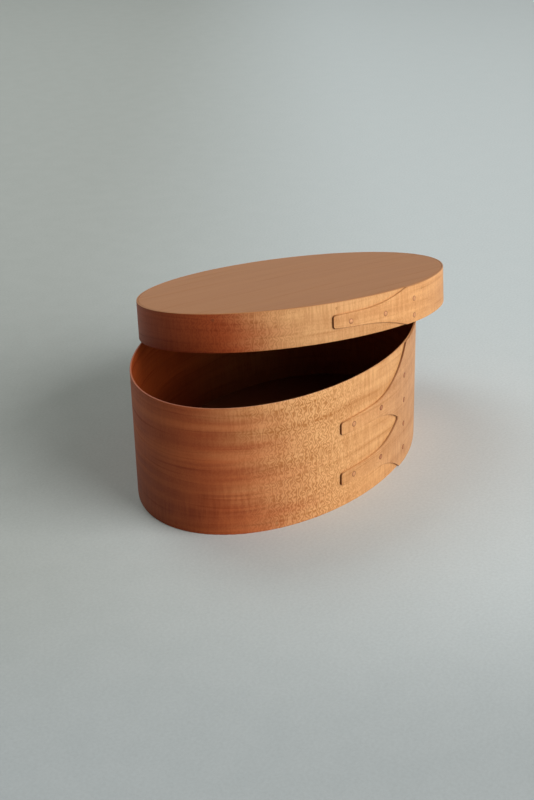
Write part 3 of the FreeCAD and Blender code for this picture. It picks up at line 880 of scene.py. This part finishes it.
def shade_ring_group():
    """A ring of painted shade round one tack, from its place on the wall."""

    def fill(tree, inputs):
        on_wall = vector_maths(tree, "MULTIPLY", inputs["Wood"], (1, 1, 0))
        distance = vector_maths(tree, "DISTANCE", on_wall, inputs["Place"], "Value")
        near = distance_from(tree, distance, inputs["Radius"])
        return {"Ring": mapped(tree, near, 0.04 * MM, 0.26 * MM, 1.0, 0.0)}

    kinds = {"Wood": "Vector", "Place": "Vector", "Radius": "Float"}
    return group_of("Mark round a tack", kinds, ("Ring",), fill)


def new_material(name):
    """A material with its node tree and its Principled shader."""
    material = bpy.data.materials.new(name)
    material.use_nodes = True
    shader = material.node_tree.nodes["Principled BSDF"]
    shader.inputs["Specular IOR Level"].default_value = GLOSS
    return material, material.node_tree, shader


def attribute(tree, name, output):
    """A mesh attribute's vector, or its value under "Fac"."""
    return node(tree, "ShaderNodeAttribute", attribute_name=name).outputs[output]


def bumped(tree, height, distance, shader):
    """Feed a height into the shader's normal."""
    made = node(tree, "ShaderNodeBump", {"Strength": 0.6, "Distance": distance, "Height": height})
    wire(tree, made.outputs["Normal"], shader.inputs["Normal"])


def cross_figure(tree, figure, along, curl_at):
    """The curl and the upright hairlines, both round 0. The curl is strongest at
    `curl_at`, and where a patch is strong the curl gains and the hairlines fade."""
    curly = mapped(tree, distance_from(tree, along, curl_at), 4 * MM, 42 * MM, 1.0, 0.0)
    strength = summed(tree, 0.10, (figure["Patches"], 0.14), (curly, 0.68))
    curl = times(tree, centred(tree, figure["Ripple"]), strength)
    hairs = times(tree, centred(tree, figure["Hairs"]), summed(tree, 1.0, (figure["Patches"], -0.6)))
    return curl, hairs


def red_heart_and_shade(tree, golden, tone, wood, heart_and_shade):
    """Red heartwood laid over its stretch of the golden wood. That stretch lies on the band's
    shaded side, and its deeper red is partly the wood's own and partly painted shade. The edge
    at which it comes in wanders and leans, and past that edge a painted shade darkens the red
    downwards."""
    (pale, deep), places, low_shade_height, wander = heart_and_shade
    along, height, _ = parts_of(tree, wood)
    edge = centred(tree, noise(tree, wood, (18, 160, 0), detail=3))
    wandered = summed(tree, along, (edge, wander), (height, HEART_AND_SHADE_LEAN))
    into = mapped(tree, wandered, places[0], places[1])
    out_of = mapped(tree, along, places[2], places[3], 0.1, 1.0)
    past_edge = mapped(tree, along, places[1] + LOW_SHADE_PLACES[0], places[1] + LOW_SHADE_PLACES[1])
    # Painted shade: past its edge the red is darkened low down
    low = times(tree, mapped(tree, height, 0.0, low_shade_height, 1.0, 0.0), past_edge)
    red = mixed(tree, low, mixed(tree, tone, deep, pale), LOW_SHADE_TINT, blend="MULTIPLY")
    return mixed(tree, times(tree, into, out_of), golden, red)


def shade_rings_round(tree, wood, shade_ring_places):
    """The rings of painted shade round the tacks at their (along, height, radius)."""
    rings = 0.0
    for along, height, radius in shade_ring_places:
        shade_ring = placed(tree, shade_ring_group(), Wood=wood, Place=(along, height, 0), Radius=radius)
        rings = maths(tree, "MAXIMUM", rings, shade_ring["Ring"])
    return rings


def cherry(
    name, tones, cut_edge_and_ring_shade, figured, curl_at=0.0, heart_and_shade=None, painted_light_tint=None, rim=None, inside=None, shade_ring_places=(),
    shade_ring_share=0.0, offset=(0, 0, 0),
):
    """Oiled cherry. `tones` are its pale and deep colours. `heart_and_shade` is the red heartwood, which
    stands partly for painted shade on the band's shaded stretch: its pale and deep colours,
    four places along the wood between which it comes in and fades, the height below which a
    painted shade darkens it, and how far its edge wanders. `painted_light_tint` is a painted-light tint and
    the four places between which it comes over the wood and goes. `figured` is how strong the
    cross figure is and `curl_at` where along the wood it is strongest. `rim` is the height at
    which an upper edge begins, its colour and its share; on the body it is a painted highlight.
    `inside` is the painted shade on the inner face, its tint high up and low down. `shade_ring_places` are
    the (along, height, radius) of tacks, and `shade_ring_share` how dark the painted shade ring round
    each is."""
    material, tree, shader = new_material(name)
    wood = attribute(tree, "wood", "Vector")
    cut = attribute(tree, "cut", "Fac")
    along, height, out = parts_of(tree, wood)
    moved = vector_maths(tree, "ADD", wood, offset)
    grain = placed(tree, grain_group(), Wood=moved)
    figure = placed(tree, figure_group(), Wood=moved)
    curl, hairs = cross_figure(tree, figure, along, curl_at)

    pale, deep = tones
    plain_tone = summed(
        tree, 0.40, (grain["Streaks"], 0.34), (grain["Lines"], -0.42), (grain["Pores"], -0.12),
        (figure["Mottle"], 0.16 * figured),
    )
    tone = summed(
        tree, plain_tone, (grain["Lines"], 0.18), (hairs, 0.38 * figured), (curl, figured), clamp=True
    )
    colour_now = mixed(tree, tone, deep, pale)
    # The red stretch: partly the wood's own red, partly painted shade on the band's shaded side
    if heart_and_shade:
        hair_share = mapped(tree, height, 6 * MM, 30 * MM, 0.5 * figured, 0.2 * figured)
        red_tone = summed(
            tree, plain_tone, (centred(tree, grain["Streaks"]), 0.35), (curl, 0.7 * figured),
            (hairs, hair_share), clamp=True,
        )
        colour_now = red_heart_and_shade(tree, colour_now, red_tone, wood, heart_and_shade)
    # Painted light: on the body a bluish darkening of the right end stands for a painted reflection, on the
    # lid a brightening of its front stands for painted light
    if painted_light_tint:
        tint, places = painted_light_tint
        coming = mapped(tree, along, places[0], places[1])
        going = mapped(tree, along, places[2], places[3], 1.0, 0.0)
        colour_now = mixed(tree, times(tree, coming, going), colour_now, tint, blend="MULTIPLY")
    rings = shade_rings_round(tree, wood, shade_ring_places)
    # Painted shade: a dark ring round each tack
    if shade_ring_places:
        colour_now = mixed(tree, times(tree, rings, shade_ring_share), colour_now, cut_edge_and_ring_shade)
    # Painted shade on the inner face, deepest near the bottom
    if inside:
        high_shade_tint, low_shade_tint = inside
        inner_shade_tint = mixed(tree, mapped(tree, height, *INNER_SHADE_HEIGHTS), low_shade_tint, high_shade_tint)
        inner = mapped(tree, out, *INNER_SHADE_REACH, 1.0, 0.0)
        colour_now = mixed(tree, inner, colour_now, inner_shade_tint, blend="MULTIPLY")
    # On the body a painted highlight along the rim; on the lid the band's top edge takes the board's colour
    if rim:
        start, rim_colour, rim_share = rim
        edge_share = mapped(tree, height, start, start + 0.3 * MM, 0.0, rim_share)
        colour_now = mixed(tree, edge_share, colour_now, rim_colour)
    colour_now = mixed(tree, times(tree, cut, 0.92), colour_now, cut_edge_and_ring_shade)
    wire(tree, colour_now, shader.inputs["Base Color"])

    rough = summed(tree, 0.47, (curl, -0.10 * figured), (grain["Lines"], 0.08), (cut, 0.35))
    wire(tree, rough, shader.inputs["Roughness"])
    relief = summed(tree, times(tree, curl, 0.9 * figured), (grain["Pores"], -0.4), (hairs, 0.4 * figured))
    if shade_ring_places:
        relief = summed(tree, relief, (rings, -1.5))
    bumped(tree, relief, 0.03 * MM, shader)
    return material


def end_grain(name, golden, red):
    """Cut end of a peg: a dull wood with fine specks. The attribute "red" matches it to
    the band round it."""
    material, tree, shader = new_material(name)
    local = attribute(tree, "local", "Vector")
    specks = mapped(tree, noise(tree, local, (5200, 5200, 600), detail=2), 0.35, 0.7)
    tone = mixed(tree, attribute(tree, "red", "Fac"), golden, red)
    tone = mixed(tree, summed(tree, 0.3, (specks, -0.3)), tone, (0.1, 0.03, 0.01))
    wire(tree, tone, shader.inputs["Base Color"])
    wire(tree, mapped(tree, specks, 0.0, 1.0, 0.55, 0.65), shader.inputs["Roughness"])
    bumped(tree, specks, 0.02 * MM, shader)
    return material


def hammered_copper(name, bright, tarnish):
    """Copper, rubbed bright on the crown of each head and tarnished towards its edge. The
    attribute "dull" is how much of a head has darkened with age."""
    material, tree, shader = new_material(name)
    local = attribute(tree, "local", "Vector")
    x, y, _ = parts_of(tree, local)
    off_middle = maths(tree, "SQRT", summed(tree, times(tree, x, x), (y, y)))
    rim = mapped(tree, off_middle, 0.55 * TACK_HEAD / 2, 1.05 * TACK_HEAD / 2)
    patches = noise(tree, local, (900, 900, 900), detail=4, roughness=0.65)
    aged = maths(tree, "SUBTRACT", attribute(tree, "dull", "Fac"), 0.2)
    dull = summed(tree, aged, (rim, 0.75), (patches, 0.4), clamp=True)
    wire(tree, mixed(tree, dull, bright, tarnish), shader.inputs["Base Color"])
    wire(tree, mapped(tree, dull, 0.0, 1.0, 0.45, 0.7), shader.inputs["Roughness"])
    wire(tree, mapped(tree, dull, 0.0, 1.0, 0.3, 0.0), shader.inputs["Metallic"])
    bumped(tree, noise(tree, local, (1300, 1300, 1300), detail=1), 0.06 * MM, shader)
    return material


def floor_finish(name, front, left, right):
    """Matt floor paper, greyer in front of the box with painted shade and paler to the right of
    it with painted light.
    """
    material, tree, shader = new_material(name)
    place = node(tree, "ShaderNodeTexCoord").outputs["Object"]
    x, y, _ = parts_of(tree, place)
    across = summed(tree, times(tree, x, math.cos(AZIMUTH)), (y, math.sin(AZIMUTH)))
    forward = summed(tree, times(tree, x, math.sin(AZIMUTH)), (y, -math.cos(AZIMUTH)))
    fibres = noise(tree, place, (700, 700, 700), detail=4, roughness=0.7)
    blotches = noise(tree, place, (60, 60, 60), detail=2)
    # Painted light paler to the right, painted shade greyer in front
    tone = mixed(tree, mapped(tree, across, -0.16, 0.12), left, right)
    tone = mixed(tree, mapped(tree, forward, 0.10, 0.26), tone, front)
    tone = mixed(tree, mapped(tree, fibres, 0.25, 0.75, 0.0, 0.11), tone, (0.1, 0.1, 0.1))
    tone = mixed(tree, mapped(tree, blotches, 0.3, 0.7, 0.0, 0.03), tone, (1, 1, 1))
    wire(tree, tone, shader.inputs["Base Color"])
    wire(tree, mapped(tree, fibres, 0.2, 0.8, 0.8, 0.9), shader.inputs["Roughness"])
    return material


# ---------------------------------------------------------------- pieces

def finish_piece(piece, material, body, slot, *nodes):
    """Give a piece its material and its body, and let it stand for its nodes."""
    piece.data.materials.append(material)
    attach(piece, body)
    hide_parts(*nodes)


def band_looks(box, which):
    """What tells the wood of one band from the other's, with its painted light and shade, as
    arguments of cherry().
    """
    finish = bpy.context.scene.oval_box.finish
    height = box.half(which)[0].height
    if which == "lid":
        # The lid's red stretch and its darkening low down are partly painted shade
        red_tones = (finish.lid_heart_and_shade_pale, finish.lid_heart_and_shade_deep)
        red_places = (-45 * MM, -88 * MM, -330 * MM, -230 * MM)
        return {
            "figured": 0.8,
            "curl_at": -84 * MM,
            "heart_and_shade": (red_tones, red_places, 0.8 * height, 20 * MM),
            # Painted light: the lid's front is made brighter
            "painted_light_tint": ((1.12, 1.14, 1.14), (-560 * MM, -550 * MM, -440 * MM, -400 * MM)),
            "rim": (height - 0.4 * MM, finish.board_pale, 0.9),
            "shade_ring_share": 0.4,
            "offset": (1.7, 0.31, 0.12),
        }
    # The body's red stretch and its darkening low down are partly painted shade
    red_tones = (finish.heart_and_shade_pale, finish.heart_and_shade_deep)
    red_places = (-30 * MM, -100 * MM, -330 * MM, -230 * MM)
    return {
        "figured": 0.92,
        "curl_at": -56 * MM,
        "heart_and_shade": (red_tones, red_places, 0.8 * height, 44 * MM),
        # Painted reflection: the body's right end is made darker and bluish
        "painted_light_tint": ((0.88, 0.90, 1.0), (-505 * MM, -462 * MM, -400 * MM, -350 * MM)),
        # Painted highlight along the body's rim
        "rim": (height - 0.3 * MM, finish.rim_highlight, 0.12),
        "shade_ring_share": 0.75,
    }


def make_band(box, which):
    """The bent strip of the body or of the lid."""
    finish = bpy.context.scene.oval_box.finish
    band, put, body = box.half(which)
    # The tacks' places, for the painted shade ring round each
    shade_ring_places = []
    for node_name, places in tack_places(box).items():
        if node_name.startswith("lid") == (which == "lid"):
            shade_ring_places += [(along - band.oval.around, height, TACK_HEAD / 2) for along, height in places]
    piece = mesh_object(f"{which}_bent_strip", put(band_shape(band)))
    # The band's inner face is given painted shade, darker towards the bottom
    material = cherry(
        f"oiled cherry, {which} band", (finish.band_pale, finish.band_deep), finish.cut_edge_and_ring_shade,
        inside=(finish.inner_shade_high, finish.inner_shade_low), shade_ring_places=shade_ring_places, **band_looks(box, which),
    )
    finish_piece(piece, material, body, "cherry_band", f"{which}_band")


def make_boards(box):
    """The bottom board and the lid's board."""
    finish = bpy.context.scene.oval_box.finish
    thickness = box.sizes.board_thickness
    for which, base, tones, offset in (
        # The bottom board's colours are painted shade
        ("bottom", 0.0, (finish.shaded_bottom_pale, finish.shaded_bottom_deep), (3.1, 0.7, 0.4)),
        ("lid", box.sizes.lid_height - thickness, (finish.board_pale, finish.board_deep), (5.3, 0.2, 0.9)),
    ):
        band, put, body = box.half(which)
        piece = mesh_object(f"{which}_oval_board", put(board_shape(band.oval, thickness, base)))
        material = cherry(
            f"oiled cherry, {which} board", tones, finish.cut_edge_and_ring_shade, figured=0.15, offset=offset
        )
        finish_piece(piece, material, body, "cherry_board", f"{which}_board")


def make_tacks(box):
    """All the copper tacks, one piece for each row. Those nearest to the body's finger
    tips and all of the lid's are rubbed bright."""
    finish = bpy.context.scene.oval_box.finish
    material = hammered_copper("hammered copper", finish.copper, finish.tarnish)
    for node_name, places in tack_places(box).items():
        band, put, body = box.half(node_name.split("_")[0])
        shapes = []
        for number, (along, height) in enumerate(places):
            wall = float(band.rise(along)) + band.thickness
            dull = 0.0 if body == "lid" or along < band.tip + BRIGHT_REACH else AGED
            for shape in tack_shape(band.oval, along, wall, height, number + len(node_name)):
                shape[2]["dull"] = np.full(len(shape[0]), dull)
                shapes.append(put(shape))
        piece = mesh_object(node_name.replace("_tacks", "_copper"), joined(shapes))
        finish_piece(piece, material, body, "copper", node_name)


def make_pegs(box):
    """The wooden pegs round both boards, redder where they stand in the band's red stretch, which
    is partly painted shade.
    """
    finish = bpy.context.scene.oval_box.finish
    material = end_grain("peg end grain", finish.peg, finish.heart_and_shade_deep)
    sizes = box.sizes
    half_board = sizes.board_thickness / 2
    for which, count, height in (
        ("bottom", sizes.bottom_pegs, half_board),
        ("lid", sizes.lid_pegs, sizes.lid_height - half_board),
    ):
        band, put, body = box.half(which)
        shapes = []
        for number in range(count):
            along = (number + 0.5) * band.oval.around / count
            if along > band.oval.around / 2:
                along -= band.oval.around
            wall = band.thickness + (float(band.rise(along)) if along > 0 else 0.0)
            shape = peg_shape(band.oval, along, wall, height, number)
            shape[2]["red"] = np.full(len(shape[0]), np.interp(along, PEG_REDDENING, (1.0, 0.0)))
            shapes.append(put(shape))
        piece = mesh_object(f"{which}_board_pegs", joined(shapes))
        finish_piece(piece, material, body, "peg_wood", f"{which}_pegs")


# ---------------------------------------------------------------- stage

def view_axes():
    """The camera's right, up and backward directions."""
    level = math.cos(ELEVATION)
    back = np.array([math.sin(AZIMUTH) * level, -math.cos(AZIMUTH) * level, math.sin(ELEVATION)])
    right = np.array([math.cos(AZIMUTH), math.sin(AZIMUTH), 0.0])
    up = np.cross(back, right)
    turned_right = math.cos(ROLL) * right + math.sin(ROLL) * up
    turned_up = -math.sin(ROLL) * right + math.cos(ROLL) * up
    return turned_right, turned_up, back


def make_camera():
    """The camera, level with the view that shows the fingers and the open mouth."""
    right, up, back = view_axes()
    data = bpy.data.cameras.new("camera")
    data.sensor_fit = "VERTICAL"
    data.sensor_height = SENSOR_HEIGHT
    data.lens = LENS
    data.clip_start = 0.01
    camera = bpy.data.objects.new("camera", data)
    place = back * VIEW_DISTANCE + right * VIEW_SHIFT[0] + up * VIEW_SHIFT[1]
    turn = Matrix(np.stack([right, up, back], 1).tolist()).to_4x4()
    camera.matrix_world = Matrix.Translation(place) @ turn
    bpy.context.scene.collection.objects.link(camera)
    bpy.context.scene.camera = camera


def make_lamp(name, place, size, power, tint):
    """A square area lamp at its place, facing the box."""
    right, _, back = view_axes()
    level_back = np.array([back[0], back[1], 0.0])
    level_back /= np.linalg.norm(level_back)
    spot = right * place[0] + level_back * place[1] + np.array([0.0, 0.0, 1.0]) * place[2]
    data = bpy.data.lights.new(name, "AREA")
    data.shape = "SQUARE"
    data.size = size
    data.energy = power
    data.color = tint
    lamp = bpy.data.objects.new(name, data)
    back = spot - np.array(LAMP_AIM)
    back /= np.linalg.norm(back)
    right = np.cross([0, 0, 1], back)
    right /= np.linalg.norm(right)
    turn = Matrix(np.stack([right, np.cross(back, right), back], 1).tolist()).to_4x4()
    lamp.matrix_world = Matrix.Translation(spot) @ turn
    bpy.context.scene.collection.objects.link(lamp)


def make_world(strength, wall_colour):
    """Weak light from all round and mostly from above. The camera and mirrors see a pale wall."""
    world = bpy.data.worlds.new("room")
    world.use_nodes = True
    tree = world.node_tree
    tree.nodes.clear()
    rays = node(tree, "ShaderNodeLightPath").outputs
    seen = maths(tree, "MAXIMUM", rays["Is Camera Ray"], rays["Is Glossy Ray"])
    seen = maths(tree, "MAXIMUM", seen, rays["Is Transmission Ray"])
    upward = parts_of(tree, node(tree, "ShaderNodeTexCoord").outputs["Generated"])[2]
    rising = mapped(tree, upward, -0.1, 1.0, 0.1 * strength, strength)
    light = node(tree, "ShaderNodeBackground", {"Color": (*ROOM_TINT, 1), "Strength": rising})
    wall = node(tree, "ShaderNodeBackground", {"Color": (*wall_colour, 1), "Strength": 1.0})
    mix = node(tree, "ShaderNodeMixShader", {0: seen, 1: light.outputs[0], 2: wall.outputs[0]})
    node(tree, "ShaderNodeOutputWorld", {"Surface": mix.outputs[0]})
    bpy.context.scene.world = world


def make_floor(front, left, right):
    """A wide level floor: a disc of rings (r cos t, r sin t, 0) round a middle point."""
    turn = np.linspace(0, 2 * math.pi, FLOOR_COLUMNS, endpoint=False)
    reach = np.array([0.3, 1.0, 3.0, 8.0])[:, None]
    rings = np.stack([reach * np.cos(turn), reach * np.sin(turn), 0 * reach * turn], -1).reshape(-1, 3)
    index = np.arange(len(rings)).reshape(len(reach), FLOOR_COLUMNS)
    faces = [
        grid_faces(index, close_rows=True)[:, ::-1],
        fan(len(rings), np.append(index[0], index[0, 0])),
    ]
    floor = mesh_object("floor", (np.concatenate([rings, [[0, 0, 0]]]), faces, {}))
    floor.data.materials.append(floor_finish("pale floor paper", front, left, right))


# ---------------------------------------------------------------- operators

class OVALBOX_OT_body_band(bpy.types.Operator):
    """Bend the body's strip round its oval and cut its two fingers"""

    bl_idname = "oval_box.body_band"
    bl_label = "Body band"

    def execute(self, context):
        make_band(Box(context.scene.oval_box.sizes), "body")
        return {"FINISHED"}


class OVALBOX_OT_lid_band(bpy.types.Operator):
    """Bend the lid's strip round its oval and cut its finger"""

    bl_idname = "oval_box.lid_band"
    bl_label = "Lid band"

    def execute(self, context):
        make_band(Box(context.scene.oval_box.sizes), "lid")
        return {"FINISHED"}


class OVALBOX_OT_boards(bpy.types.Operator):
    """Let the bottom board and the lid's board into their bands"""

    bl_idname = "oval_box.boards"
    bl_label = "Boards"

    def execute(self, context):
        make_boards(Box(context.scene.oval_box.sizes))
        return {"FINISHED"}


class OVALBOX_OT_tacks(bpy.types.Operator):
    """Drive and clinch the copper tacks"""

    bl_idname = "oval_box.tacks"
    bl_label = "Copper tacks"

    def execute(self, context):
        make_tacks(Box(context.scene.oval_box.sizes))
        return {"FINISHED"}


class OVALBOX_OT_pegs(bpy.types.Operator):
    """Peg both boards through their bands"""

    bl_idname = "oval_box.pegs"
    bl_label = "Wooden pegs"

    def execute(self, context):
        make_pegs(Box(context.scene.oval_box.sizes))
        return {"FINISHED"}


class OVALBOX_OT_stage(bpy.types.Operator):
    """Lay the floor, hang the lamps and set up the camera"""

    bl_idname = "oval_box.stage"
    bl_label = "Stage"

    def execute(self, context):
        settings = context.scene.oval_box.stage
        make_floor(settings.shaded_floor_front, settings.floor_left, settings.lit_floor_right)
        make_lamp("key lamp", KEY_PLACE, KEY_SIZE, settings.key_watts, KEY_TINT)
        make_lamp("fill lamp", FILL_PLACE, FILL_SIZE, settings.fill_watts, FILL_TINT)
        make_world(settings.world_strength, settings.shaded_floor_front)
        make_camera()
        context.scene.view_settings.view_transform = "Standard"
        return {"FINISHED"}


class OVALBOX_PT_panel(bpy.types.Panel):
    """Settings and steps of the oval box"""

    bl_label = "Oval box"
    bl_idname = "OVALBOX_PT_panel"
    bl_space_type = "VIEW_3D"
    bl_region_type = "UI"
    bl_category = "Oval box"

    def draw(self, context):
        settings = context.scene.oval_box
        for title in ("Sizes", "Finish", "Stage"):
            group = getattr(settings, title.lower())
            section = self.layout.box()
            section.label(text=title)
            for key in group.__annotations__:
                section.prop(group, key)
        for step in STEPS:
            self.layout.operator(step.bl_idname)


STEPS = (
    OVALBOX_OT_body_band,
    OVALBOX_OT_lid_band,
    OVALBOX_OT_boards,
    OVALBOX_OT_tacks,
    OVALBOX_OT_pegs,
    OVALBOX_OT_stage,
)
CLASSES = (OvalBoxSizes, OvalBoxFinish, OvalBoxStage, OvalBoxSettings, *STEPS, OVALBOX_PT_panel)


def register():
    """Add the classes and the scene's settings."""
    for item in CLASSES:
        bpy.utils.register_class(item)
    bpy.types.Scene.oval_box = PointerProperty(type=OvalBoxSettings)


def unregister():
    """Take the settings and the classes away again."""
    del bpy.types.Scene.oval_box
    for item in reversed(CLASSES):
        bpy.utils.unregister_class(item)


def main():
    """Make every piece and the stage."""
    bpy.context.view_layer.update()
    register()
    bpy.ops.oval_box.body_band()
    bpy.ops.oval_box.lid_band()
    bpy.ops.oval_box.boards()
    bpy.ops.oval_box.tacks()
    bpy.ops.oval_box.pegs()
    bpy.ops.oval_box.stage()
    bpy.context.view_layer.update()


if __name__ == "__main__":
    main()
